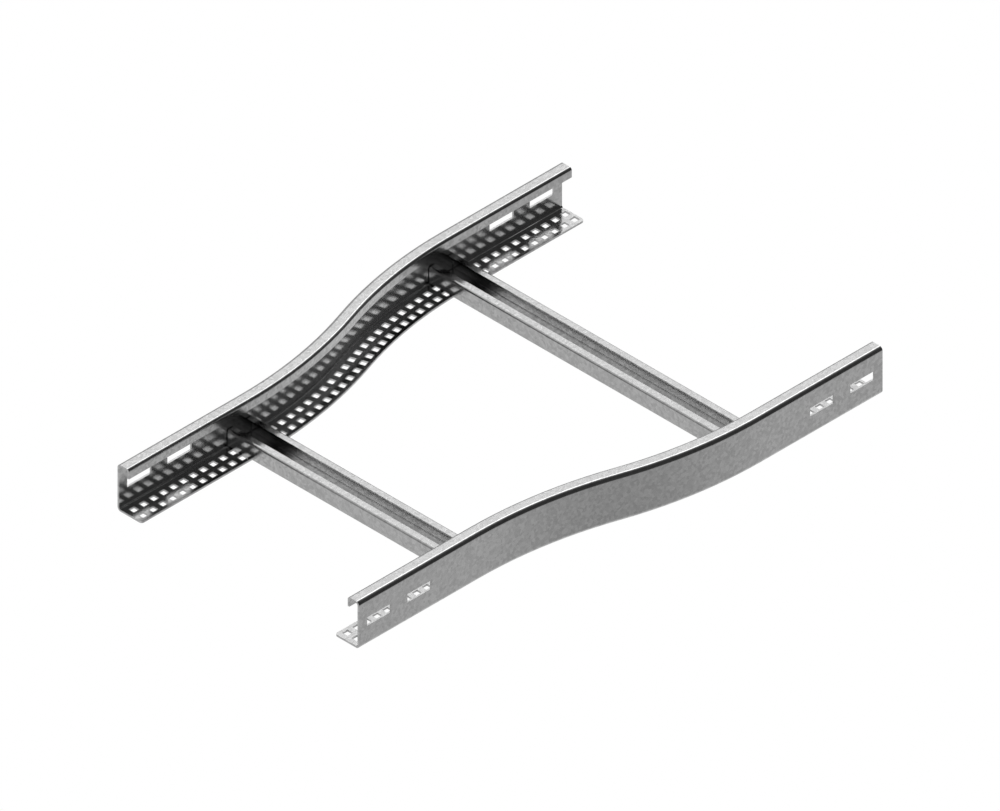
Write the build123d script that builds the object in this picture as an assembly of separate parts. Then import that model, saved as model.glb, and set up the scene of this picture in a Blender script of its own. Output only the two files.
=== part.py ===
from build123d import *
import os
from math import asin, degrees, floor

# Cable ladder reducer: two side rails of folded galvanised sheet that step outwards in an S,
# joined by two channel rungs. X is across the ladder, Y along it from the narrow end to the
# wide end, Z up. The origin is under the middle of the ladder, on the rails' underside.

# Driving dimensions of the ladder, in millimetres
LENGTH = 600.0
NARROW_WIDTH = 300.0  # over the webs at the narrow end
WIDE_WIDTH = 400.0  # over the webs at the wide end
CURVE_LENGTH = 300.0  # length along Y of each rail's S curve, between two straight ends
RAIL_HEIGHT = 50.0
SHEET = 2.0  # thickness of the side rails

# Driving dimensions of the rail's folded section
WEB_BEND = 3.8  # outside radius of the bends at the web's top and bottom
LIP_BEND = 2.7  # outside radius of the bend between top flange and lip
TOP_FLANGE = 14.15  # web's outer face to lip's outer face
LIP_HEIGHT = 10.2
BOTTOM_FLANGE = 30.0  # web's outer face to the flange's edge
FLANGE_CORNER = 3.0  # radius of the bottom flange's free corners

# Driving dimensions of the perforation in the bottom flange
HOLE_SIZE = 6.6
HOLE_PITCH = 12.315  # along the web line
FIRST_HOLE = 8.8  # narrow end to the first hole's centre
ROWS = 2
ROW_FROM_WEB = 11.6
ROW_PITCH = 11.5
HOLE_EDGE_MARGIN = 1.0  # least metal between the last hole and the wide end

# Driving dimensions of the coupler slots in each web
SLOT_LENGTH = 30.0
SLOT_HEIGHT = 9.0
SLOT_FROM_END = 25.0
SLOT_PITCH = 50.0
SLOTS_PER_END = 2

# Driving dimensions of the rungs
RUNG_SHEET = 1.5  # their thickness, which leaves an inside bend of 0.9
RUNG_SPACING = 300.0
RUNG_WIDTH = 32.0
RUNG_HEIGHT = 18.4
RUNG_LIP = 7.8
RUNG_BEND = 2.4  # outside radius of the rung's four bends
RUNG_END_GAP = 0.75  # clearance between a rung's end and the web

# Derived sizes
STRAIGHT = (LENGTH - CURVE_LENGTH) / 2
OFFSET = (WIDE_WIDTH - NARROW_WIDTH) / 2
ARC_RADIUS = (CURVE_LENGTH**2 + OFFSET**2) / (4 * OFFSET)  # of the web line, both arcs alike
ARC_TURN = asin(CURVE_LENGTH / 2 / ARC_RADIUS)
ARC_LENGTH = ARC_RADIUS * ARC_TURN
WEB_LINE = 2 * STRAIGHT + 2 * ARC_LENGTH
WEB_INSIDE_BEND = WEB_BEND - SHEET
THROUGH = 4 * SHEET  # depth of a cutter that passes through one sheet

# Centres of the right rail's two arcs, on the plan
FIRST_CENTRE = Vector(NARROW_WIDTH / 2 + ARC_RADIUS, -CURVE_LENGTH / 2)
SECOND_CENTRE = Vector(WIDE_WIDTH / 2 - ARC_RADIUS, CURVE_LENGTH / 2)


def station(distance):
    """Plane across the right rail at a distance along its web line: x inwards, y up."""
    if distance <= STRAIGHT:
        return Plane((NARROW_WIDTH / 2, distance - LENGTH / 2, 0), x_dir=(-1, 0, 0), z_dir=(0, 1, 0))
    if distance <= STRAIGHT + ARC_LENGTH:
        turn = degrees((distance - STRAIGHT) / ARC_RADIUS)
        arm = Vector(-1, 0).rotate(Axis.Z, -turn)
        return Plane(FIRST_CENTRE + arm * ARC_RADIUS, x_dir=arm, z_dir=Vector(0, 1).rotate(Axis.Z, -turn))
    if distance < WEB_LINE - STRAIGHT:
        turn = degrees((WEB_LINE - STRAIGHT - distance) / ARC_RADIUS)
        arm = Vector(1, 0).rotate(Axis.Z, -turn)
        return Plane(SECOND_CENTRE + arm * ARC_RADIUS, x_dir=-arm, z_dir=Vector(0, 1).rotate(Axis.Z, -turn))
    to_end = WEB_LINE - distance
    return Plane((WIDE_WIDTH / 2, LENGTH / 2 - to_end, 0), x_dir=(-1, 0, 0), z_dir=(0, 1, 0))


# Rail section, folded from one sheet: x inwards from the web's outer face, y up
def rail_section():
    lip_foot = RAIL_HEIGHT - LIP_HEIGHT
    lip_inside = TOP_FLANGE - SHEET
    outer = FilletPolyline(
        (BOTTOM_FLANGE, 0),
        (0, 0),
        (0, RAIL_HEIGHT),
        (TOP_FLANGE, RAIL_HEIGHT),
        (TOP_FLANGE, lip_foot),
        radius=[WEB_BEND, WEB_BEND, LIP_BEND],
    )
    inner = FilletPolyline(
        (lip_inside, lip_foot),
        (lip_inside, RAIL_HEIGHT - SHEET),
        (SHEET, RAIL_HEIGHT - SHEET),
        (SHEET, SHEET),
        (BOTTOM_FLANGE, SHEET),
        radius=[LIP_BEND - SHEET, WEB_INSIDE_BEND, WEB_INSIDE_BEND],
    )
    lip_edge = Line((TOP_FLANGE, lip_foot), (lip_inside, lip_foot))
    flange_edge = Line((BOTTOM_FLANGE, SHEET), (BOTTOM_FLANGE, 0))
    return make_face([outer, lip_edge, inner, flange_edge])


# Web line of the right rail, moved inwards, as a straight, two arcs and a straight
def web_line(inwards):
    joint = station(STRAIGHT + ARC_LENGTH)
    start = Vector(NARROW_WIDTH / 2 - inwards, -LENGTH / 2)
    first = Vector(NARROW_WIDTH / 2 - inwards, -CURVE_LENGTH / 2)
    middle = joint.origin + joint.x_dir * inwards
    last = Vector(WIDE_WIDTH / 2 - inwards, CURVE_LENGTH / 2)
    end = Vector(WIDE_WIDTH / 2 - inwards, LENGTH / 2)
    return [
        Line(start, first),
        TangentArc(first, middle, tangent=(0, 1)),
        TangentArc(middle, last, tangent=joint.z_dir),
        Line(last, end),
    ]


# Room between the two webs above the bottom flanges, clear of the rails' inside bends
def room_between_webs():
    right = web_line(SHEET + RUNG_END_GAP)
    left = [mirror(edge, about=Plane.YZ) for edge in right]
    narrow_side = Line(left[0] @ 0, right[0] @ 0)
    wide_side = Line(right[-1] @ 1, left[-1] @ 1)
    plan = make_face([narrow_side, *right, wide_side, *left])
    room = Pos(0, 0, SHEET) * extrude(plan, amount=RAIL_HEIGHT - 2 * SHEET)
    floor_edges = room.faces().sort_by(Axis.Z)[0].edges().filter_by(
        lambda edge: abs(abs(edge.center().Y) - LENGTH / 2) > SHEET
    )
    return chamfer(floor_edges, length=WEB_INSIDE_BEND - RUNG_END_GAP)


# One side rail, on the +X side, with its perforated flange and coupler slots
def right_rail():
    section = rail_section()
    turn = degrees(ARC_TURN)
    first_axis = Axis(FIRST_CENTRE, (0, 0, -1))
    second_axis = Axis(SECOND_CENTRE, (0, 0, 1))
    narrow_end = extrude(station(0) * section, amount=STRAIGHT)
    outward_arc = revolve(station(STRAIGHT) * section, first_axis, revolution_arc=turn)
    return_arc = revolve(station(STRAIGHT + ARC_LENGTH) * section, second_axis, revolution_arc=turn)
    wide_end = extrude(station(WEB_LINE) * section, amount=-STRAIGHT)
    rail = narrow_end + outward_arc + return_arc + wide_end
    free_corners = rail.edges().filter_by(Axis.Z).filter_by(
        lambda edge: edge.center().Z < SHEET and abs(edge.center().Y) > LENGTH / 2 - SHEET
    )
    rail = fillet(free_corners, radius=FLANGE_CORNER)
    return rail - perforation() - coupler_slots()


# Square holes in rows beside the web, which follow its line round the S
def perforation():
    punch = Box(HOLE_SIZE, THROUGH, HOLE_SIZE)
    run = WEB_LINE - FIRST_HOLE - HOLE_SIZE / 2 - HOLE_EDGE_MARGIN
    columns = floor(run / HOLE_PITCH) + 1
    return [
        station(FIRST_HOLE + column * HOLE_PITCH)
        * Pos(ROW_FROM_WEB + row * ROW_PITCH, SHEET / 2)
        * punch
        for column in range(columns)
        for row in range(ROWS)
    ]


# Slots at half height in both straight ends of the web
def coupler_slots():
    punch = Box(THROUGH, SLOT_HEIGHT, SLOT_LENGTH)
    from_end = [SLOT_FROM_END + slot * SLOT_PITCH for slot in range(SLOTS_PER_END)]
    centres = from_end + [WEB_LINE - distance for distance in from_end]
    return [station(centre) * Pos(SHEET / 2, RAIL_HEIGHT / 2) * punch for centre in centres]


# Rung: a channel with in-turned lips, open upwards, that stands on the bottom flanges
def rung_section():
    half = RUNG_WIDTH / 2
    outer = FilletPolyline(
        (-half + RUNG_LIP, RUNG_HEIGHT),
        (-half, RUNG_HEIGHT),
        (-half, 0),
        (half, 0),
        (half, RUNG_HEIGHT),
        (half - RUNG_LIP, RUNG_HEIGHT),
        radius=RUNG_BEND,
    )
    inner = FilletPolyline(
        (half - RUNG_LIP, RUNG_HEIGHT - RUNG_SHEET),
        (half - RUNG_SHEET, RUNG_HEIGHT - RUNG_SHEET),
        (half - RUNG_SHEET, RUNG_SHEET),
        (-half + RUNG_SHEET, RUNG_SHEET),
        (-half + RUNG_SHEET, RUNG_HEIGHT - RUNG_SHEET),
        (-half + RUNG_LIP, RUNG_HEIGHT - RUNG_SHEET),
        radius=RUNG_BEND - RUNG_SHEET,
    )
    right_edge = Line(outer @ 1, inner @ 0)
    left_edge = Line(inner @ 1, outer @ 0)
    return make_face([outer, right_edge, inner, left_edge])


def rung(y_centre, room):
    across = Plane((-WIDE_WIDTH / 2, y_centre, SHEET), x_dir=(0, 1, 0), z_dir=(1, 0, 0))
    return extrude(across * rung_section(), amount=WIDE_WIDTH) & room


rail = right_rail()
room = room_between_webs()
parts = {
    "side_rail_right": rail,
    "side_rail_left": mirror(rail, about=Plane.YZ),
    "rung_narrow_end": rung(-RUNG_SPACING / 2, room),
    "rung_wide_end": rung(RUNG_SPACING / 2, room),
}

os.makedirs("parts", exist_ok=True)
for node, solid in parts.items():
    export_step(solid, f"parts/{node}.step")
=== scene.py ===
import logging
import math
from dataclasses import dataclass
from enum import Enum
from typing import Callable, Sequence

import bpy
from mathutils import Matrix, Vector


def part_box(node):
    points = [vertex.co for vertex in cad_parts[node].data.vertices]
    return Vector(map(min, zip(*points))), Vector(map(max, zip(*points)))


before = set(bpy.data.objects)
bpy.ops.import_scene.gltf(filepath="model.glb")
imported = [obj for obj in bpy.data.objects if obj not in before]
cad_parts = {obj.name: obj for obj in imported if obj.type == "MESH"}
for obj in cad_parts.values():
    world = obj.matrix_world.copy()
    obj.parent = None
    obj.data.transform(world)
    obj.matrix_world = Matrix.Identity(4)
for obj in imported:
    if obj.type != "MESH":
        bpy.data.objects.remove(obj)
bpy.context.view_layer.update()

# Cable ladder reducer: two perforated side rails and two channel rungs of galvanised sheet.
# Lengths are in metres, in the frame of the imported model: X across, Y along, Z up.
MILLIMETRES = 1000  # in a metre

log = logging.getLogger("cable_ladder_reducer")


class Slot(Enum):
    """Material slots of the record, which the log names beside each piece's finish."""

    RAIL = "rail_steel"
    RUNG = "rung_steel"


@dataclass(frozen=True)
class SpangleGroup:
    """Zinc spangle: crystals that differ a little in tone, gloss and height, and a fine grain.

    The crystals are cells round scattered points, each with one random tone, and they run
    softly into each other. The grain is a finer noise over them. Both are worked out in the
    space of the coordinates handed in.
    """

    name: str = "zinc_spangle"
    crystal_softness: float = 0.35
    grain_detail: float = 3.0
    grain_roughness: float = 0.6

    def tree(self) -> bpy.types.ShaderNodeTree:
        """Builds the node group once, or finds it.

        Returns:
            The group, with sockets for coordinates and sizes in, and Tone and Height out.
        """
        found = bpy.data.node_groups.get(self.name)
        if found is not None:
            return found
        group = bpy.data.node_groups.new(self.name, "ShaderNodeTree")
        face = group.interface
        face.new_socket("Coordinates", in_out="INPUT", socket_type="NodeSocketVector")
        for label in ("Crystals per Metre", "Grain per Metre", "Grain Share"):
            face.new_socket(label, in_out="INPUT", socket_type="NodeSocketFloat")
        for label in ("Tone", "Height"):
            face.new_socket(label, in_out="OUTPUT", socket_type="NodeSocketFloat")

        nodes, link = group.nodes, group.links.new
        given = nodes.new("NodeGroupInput")
        out = nodes.new("NodeGroupOutput")
        crystals = nodes.new("ShaderNodeTexVoronoi")
        crystals.feature = "SMOOTH_F1"
        crystals.inputs["Smoothness"].default_value = self.crystal_softness
        grain = nodes.new("ShaderNodeTexNoise")
        grain.inputs["Detail"].default_value = self.grain_detail
        grain.inputs["Roughness"].default_value = self.grain_roughness
        red = nodes.new("ShaderNodeSeparateColor")
        tone = nodes.new("ShaderNodeMix")
        link(given.outputs["Coordinates"], crystals.inputs["Vector"])
        link(given.outputs["Crystals per Metre"], crystals.inputs["Scale"])
        link(given.outputs["Coordinates"], grain.inputs["Vector"])
        link(given.outputs["Grain per Metre"], grain.inputs["Scale"])
        link(crystals.outputs["Color"], red.inputs["Color"])
        link(given.outputs["Grain Share"], tone.inputs["Factor"])
        link(red.outputs["Red"], tone.inputs["A"])
        link(grain.outputs["Fac"], tone.inputs["B"])
        link(tone.outputs["Result"], out.inputs["Tone"])
        link(tone.outputs["Result"], out.inputs["Height"])
        return group


@dataclass(frozen=True)
class GalvanisedFinish:
    """Hot-dip galvanised sheet steel: bright zinc with a fine spangle.

    Painted shade: the base colour is darkened by the number of bounces before this one, so that the
    folds' deep corners stay dark.
    """

    name: str
    light_zinc: float = 1.0
    dark_zinc: float = 0.79
    tone_limits: tuple[float, float] = (0.25, 0.75)
    glossy: float = 0.13
    matt: float = 0.19
    # Painted shade: share of the base colour kept at each ray depth, so deeper bounces are darker.
    painted_shade_shares: tuple[tuple[int, float], ...] = ((0, 1.0), (1, 0.92), (2, 0.55), (3, 0.0))
    crystals_per_metre: float = 350.0
    grain_per_metre: float = 1000.0
    grain_share: float = 0.45
    relief: float = 0.000026

    def painted_shade_share(self, nodes: bpy.types.Nodes, link: Callable) -> bpy.types.NodeSocket:
        """Makes the painted shade: the share of the base colour kept, by the bounces before this one.

        Args:
            nodes: The material's nodes.
            link: The tree's function that links two sockets.

        Returns:
            The socket that gives the share.
        """
        path, bounces = nodes.new("ShaderNodeLightPath"), nodes.new("ShaderNodeMapRange")
        share = nodes.new("ShaderNodeValToRGB")
        most = self.painted_shade_shares[-1][0]
        bounces.inputs["From Max"].default_value = most
        while len(share.color_ramp.elements) < len(self.painted_shade_shares):
            share.color_ramp.elements.new(1.0)
        for stop, (count, level) in zip(share.color_ramp.elements, self.painted_shade_shares):
            stop.position, stop.color = count / most, (level, level, level, 1)
        link(path.outputs["Ray Depth"], bounces.inputs["Value"])
        link(bounces.outputs["Result"], share.inputs["Fac"])
        return share.outputs["Color"]

    def material(self) -> bpy.types.Material:
        """Builds the material.

        Returns:
            A metal whose tone, roughness and relief follow the spangle, with painted shade by bounce
            count in its colour.
        """
        made = bpy.data.materials.new(self.name)
        made.use_nodes = True
        nodes, link = made.node_tree.nodes, made.node_tree.links.new
        nodes.clear()
        out = nodes.new("ShaderNodeOutputMaterial")
        metal = nodes.new("ShaderNodeBsdfPrincipled")
        metal.inputs["Metallic"].default_value = 1.0
        link(metal.outputs["BSDF"], out.inputs["Surface"])

        where = nodes.new("ShaderNodeTexCoord")
        spangle = nodes.new("ShaderNodeGroup")
        spangle.node_tree = SpangleGroup().tree()
        spangle.inputs["Crystals per Metre"].default_value = self.crystals_per_metre
        spangle.inputs["Grain per Metre"].default_value = self.grain_per_metre
        spangle.inputs["Grain Share"].default_value = self.grain_share
        link(where.outputs["Object"], spangle.inputs["Coordinates"])

        colour = nodes.new("ShaderNodeValToRGB")
        shades = (self.dark_zinc, self.light_zinc)
        for stop, limit, level in zip(colour.color_ramp.elements, self.tone_limits, shades):
            stop.position, stop.color = limit, (level, level, level, 1)
        link(spangle.outputs["Tone"], colour.inputs["Fac"])
        # Painted shade: the spangle tone times the share kept after the bounces before this one.
        painted_shade_mix = nodes.new("ShaderNodeMix")
        painted_shade_mix.data_type, painted_shade_mix.blend_type = "RGBA", "MULTIPLY"
        painted_shade_mix.inputs["Factor"].default_value = 1.0
        link(colour.outputs["Color"], painted_shade_mix.inputs["A"])
        link(self.painted_shade_share(nodes, link), painted_shade_mix.inputs["B"])
        link(painted_shade_mix.outputs["Result"], metal.inputs["Base Color"])

        rough = nodes.new("ShaderNodeMapRange")
        rough.inputs["To Min"].default_value = self.matt
        rough.inputs["To Max"].default_value = self.glossy
        link(spangle.outputs["Tone"], rough.inputs["Value"])
        link(rough.outputs["Result"], metal.inputs["Roughness"])

        bump = nodes.new("ShaderNodeBump")
        bump.inputs["Distance"].default_value = self.relief
        link(spangle.outputs["Height"], bump.inputs["Height"])
        link(bump.outputs["Normal"], metal.inputs["Normal"])
        return made


@dataclass(frozen=True)
class CadPiece:
    """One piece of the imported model, which keeps its mesh and takes a finish."""

    node: str
    slot: Slot

    def dress(self, material: bpy.types.Material) -> None:
        """Puts the material in every slot of the piece.

        Args:
            material: The finish, already built.
        """
        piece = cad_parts[self.node]
        for place in range(len(piece.data.materials)):
            piece.data.materials[place] = material
        low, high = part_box(self.node)
        size = (high - low) * MILLIMETRES
        log.info("%s: %.0f x %.0f x %.0f mm, %s as %s",
                 self.node, *size, self.slot.value, material.name)


@dataclass(frozen=True)
class LadderFrame:
    """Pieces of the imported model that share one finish, such as both side rails."""

    slot: Slot
    nodes: Sequence[str]
    finish: GalvanisedFinish

    def dress(self) -> None:
        """Builds the finish once and puts it on every piece."""
        material = self.finish.material()
        for node in self.nodes:
            CadPiece(node, self.slot).dress(material)


@dataclass(frozen=True)
class StudioCamera:
    """Orthographic camera on the ladder's isometric diagonal."""

    azimuth: float = 45.0
    elevation: float = math.degrees(math.atan(math.sqrt(0.5)))
    picture_width: float = 0.8780
    aim_right: float = 0.01763
    aim_up: float = 0.03048
    distance: float = 3.0
    clip: tuple[float, float] = (0.01, 100.0)

    def place(self) -> None:
        """Makes the camera and gives it to the scene."""
        turn, lift = math.radians(self.azimuth), math.radians(self.elevation)
        flat = math.cos(lift)
        back = Vector((math.sin(turn) * flat, -math.cos(turn) * flat, math.sin(lift)))
        right = Vector((math.cos(turn), math.sin(turn), 0))
        up = back.cross(right)
        lens = bpy.data.cameras.new("studio_camera")
        lens.type = "ORTHO"
        lens.ortho_scale = self.picture_width
        lens.clip_start, lens.clip_end = self.clip
        camera = bpy.data.objects.new("studio_camera", lens)
        camera.rotation_mode = "QUATERNION"
        camera.rotation_quaternion = (-back).to_track_quat("-Z", "Y")
        camera.location = right * self.aim_right + up * self.aim_up + back * self.distance
        bpy.context.scene.collection.objects.link(camera)
        bpy.context.scene.camera = camera
        log.info("camera: azimuth %.1f, elevation %.2f", self.azimuth, self.elevation)


@dataclass(frozen=True)
class PaleFloor:
    """Plain white floor under the ladder, which the metal's reflections pass by."""

    size: float = 12.0
    drop: float = 0.0005
    brightness: float = 1.0

    def lay(self) -> None:
        """Makes the floor: one square, a little below the rails' underside."""
        half, low = self.size / 2, -self.drop
        mesh = bpy.data.meshes.new("floor")
        corners = [(-half, -half, low), (half, -half, low), (half, half, low), (-half, half, low)]
        mesh.from_pydata(corners, [], [(0, 1, 2, 3)])
        floor = bpy.data.objects.new("floor", mesh)
        bpy.context.scene.collection.objects.link(floor)
        white = bpy.data.materials.new("pale_floor")
        white.use_nodes = True
        nodes, link = white.node_tree.nodes, white.node_tree.links.new
        nodes.clear()
        out = nodes.new("ShaderNodeOutputMaterial")
        glow = nodes.new("ShaderNodeEmission")
        glow.inputs["Strength"].default_value = self.brightness
        link(glow.outputs["Emission"], out.inputs["Surface"])
        mesh.materials.append(white)
        floor.visible_glossy = False
        floor.visible_diffuse = False
        floor.visible_shadow = False


@dataclass(frozen=True)
class SoftStudio:
    """Soft light all round, as brightness by direction.

    Ramps over the direction's X give the brightness, one for the walls on the wide end's side
    (+Y), two for those on the narrow end's (-Y), high and low, and one for the grey ground: a
    broad soft box on -X with a bright rim on its inner side, and dark walls on +X. Y blends the
    two sides. Each side has a horizon of its own, a plane through the middle that parts walls
    from ground; on the wide end's side it rises towards -X, to the soft box's lower edge. The
    camera itself sees white, and top is the brightness that a ramp's white stands for.
    """

    wide_side: tuple[tuple[float, float], ...] = (
        (-1.0, 0.34), (-0.80, 0.36), (-0.66, 0.46), (-0.585, 0.46), (-0.52, 1.60), (-0.43, 1.78),
        (-0.28, 0.62), (-0.08, 0.13), (0.25, 0.055), (0.57, 0.028), (1.0, 0.028),
    )
    narrow_high: tuple[tuple[float, float], ...] = (
        (-1.0, 0.36), (-0.577, 0.40), (-0.2, 0.44), (0.25, 0.08), (0.57, 0.055), (1.0, 0.055),
    )
    narrow_low: tuple[tuple[float, float], ...] = (
        (-1.0, 0.20), (-0.577, 0.21), (-0.2, 0.24), (0.25, 0.07), (0.57, 0.055), (1.0, 0.055),
    )
    ground: tuple[tuple[float, float], ...] = (
        (-1.0, 0.28), (-0.75, 0.32), (-0.60, 0.40), (-0.20, 0.49), (0.10, 0.50), (0.21, 0.48),
        (0.346, 0.42), (0.577, 0.345), (0.69, 0.306), (0.81, 0.252), (1.0, 0.19),
    )
    top: float = 1.8
    side_blend: tuple[float, float] = (-0.28, 0.20)
    wide_horizon: tuple[float, float] = (-0.08, 0.20)
    wide_tilt: float = 0.52
    narrow_horizon: tuple[float, float] = (-0.50, -0.30)
    narrow_rise: tuple[float, float] = (0.25, 0.65)

    def ramp(self, nodes: bpy.types.Nodes, stops: Sequence[tuple[float, float]]) -> bpy.types.Node:
        """Makes a ramp from one component of the direction to brightness.

        Args:
            nodes: The world's nodes.
            stops: Pairs of component, from -1 to 1, and brightness.

        Returns:
            The ramp node.
        """
        ramp = nodes.new("ShaderNodeValToRGB")
        bands = ramp.color_ramp
        bands.interpolation = "EASE"
        while len(bands.elements) < len(stops):
            bands.elements.new(1.0)
        for band, (side, level) in zip(bands.elements, stops):
            share = level / self.top
            band.position, band.color = (side + 1) / 2, (share, share, share, 1)
        return ramp

    def step(self, nodes: bpy.types.Nodes, limits: tuple[float, float]) -> bpy.types.Node:
        """Makes a smooth step from 0 at the first limit to 1 at the second.

        Args:
            nodes: The world's nodes.
            limits: The component's values where the step starts and ends.

        Returns:
            The step node.
        """
        step = nodes.new("ShaderNodeMapRange")
        step.interpolation_type = "SMOOTHSTEP"
        step.inputs["From Min"].default_value, step.inputs["From Max"].default_value = limits
        return step

    def blend(self, nodes: bpy.types.Nodes, link: Callable, share: bpy.types.Node,
              first: bpy.types.Node, second: bpy.types.Node) -> bpy.types.Node:
        """Mixes the colours of two nodes.

        Args:
            nodes: The world's nodes.
            link: The tree's function that links two sockets.
            share: Node whose Result is the second colour's share.
            first: Node with the first colour, at share 0.
            second: Node with the second colour, at share 1.

        Returns:
            The mix node, whose Result is the colour.
        """
        mix = nodes.new("ShaderNodeMix")
        mix.data_type = "RGBA"
        link(share.outputs["Result"], mix.inputs["Factor"])
        for side, source in (("A", first), ("B", second)):
            link(source.outputs.get("Color") or source.outputs["Result"], mix.inputs[side])
        return mix

    def light(self) -> None:
        """Gives the scene this light as its world."""
        world = bpy.data.worlds.new("soft_studio")
        world.use_nodes = True
        nodes, link = world.node_tree.nodes, world.node_tree.links.new
        nodes.clear()
        out = nodes.new("ShaderNodeOutputWorld")
        shine = nodes.new("ShaderNodeBackground")
        shine.inputs["Strength"].default_value = self.top
        direction = nodes.new("ShaderNodeTexCoord")
        split = nodes.new("ShaderNodeSeparateXYZ")
        across = nodes.new("ShaderNodeMapRange")
        across.inputs["From Min"].default_value = -1.0
        stops = (self.wide_side, self.narrow_high, self.narrow_low, self.ground)
        wide, high, low, ground = (self.ramp(nodes, pairs) for pairs in stops)
        link(direction.outputs["Generated"], split.inputs["Vector"])
        link(split.outputs["X"], across.inputs["Value"])
        for ramp in (wide, high, low, ground):
            link(across.outputs["Result"], ramp.inputs["Fac"])
        rise = self.step(nodes, self.narrow_rise)
        link(split.outputs["Z"], rise.inputs["Value"])
        narrow = self.blend(nodes, link, rise, low, high)
        halves = []
        sides = ((narrow, self.narrow_horizon, 0.0), (wide, self.wide_horizon, self.wide_tilt))
        for walls, horizon, tilt in sides:
            height, above = nodes.new("ShaderNodeVectorMath"), self.step(nodes, horizon)
            height.operation = "DOT_PRODUCT"
            height.inputs[1].default_value = (tilt, 0.0, 1.0)
            link(direction.outputs["Generated"], height.inputs[0])
            link(height.outputs["Value"], above.inputs["Value"])
            halves.append(self.blend(nodes, link, above, ground, walls))
        side = self.step(nodes, self.side_blend)
        link(split.outputs["Y"], side.inputs["Value"])
        both = self.blend(nodes, link, side, *halves)
        path, backdrop = nodes.new("ShaderNodeLightPath"), nodes.new("ShaderNodeMix")
        white = 1 / self.top
        backdrop.data_type = "RGBA"
        backdrop.inputs["B"].default_value = (white, white, white, 1)
        link(path.outputs["Is Camera Ray"], backdrop.inputs["Factor"])
        link(both.outputs["Result"], backdrop.inputs["A"])
        link(backdrop.outputs["Result"], shine.inputs["Color"])
        link(shine.outputs["Background"], out.inputs["Surface"])
        bpy.context.scene.world = world
        bpy.context.scene.view_settings.view_transform = "Standard"


def main() -> None:
    """Dresses the ladder and sets the studio round it."""
    logging.basicConfig(level=logging.INFO, format="%(message)s")
    StudioCamera().place()
    PaleFloor().lay()
    SoftStudio().light()
    rail_finish, rung_finish = GalvanisedFinish("galvanised_rail"), GalvanisedFinish("galvanised_rung")
    LadderFrame(Slot.RAIL, ("side_rail_right", "side_rail_left"), rail_finish).dress()
    LadderFrame(Slot.RUNG, ("rung_narrow_end", "rung_wide_end"), rung_finish).dress()


if __name__ == "__main__":
    main()
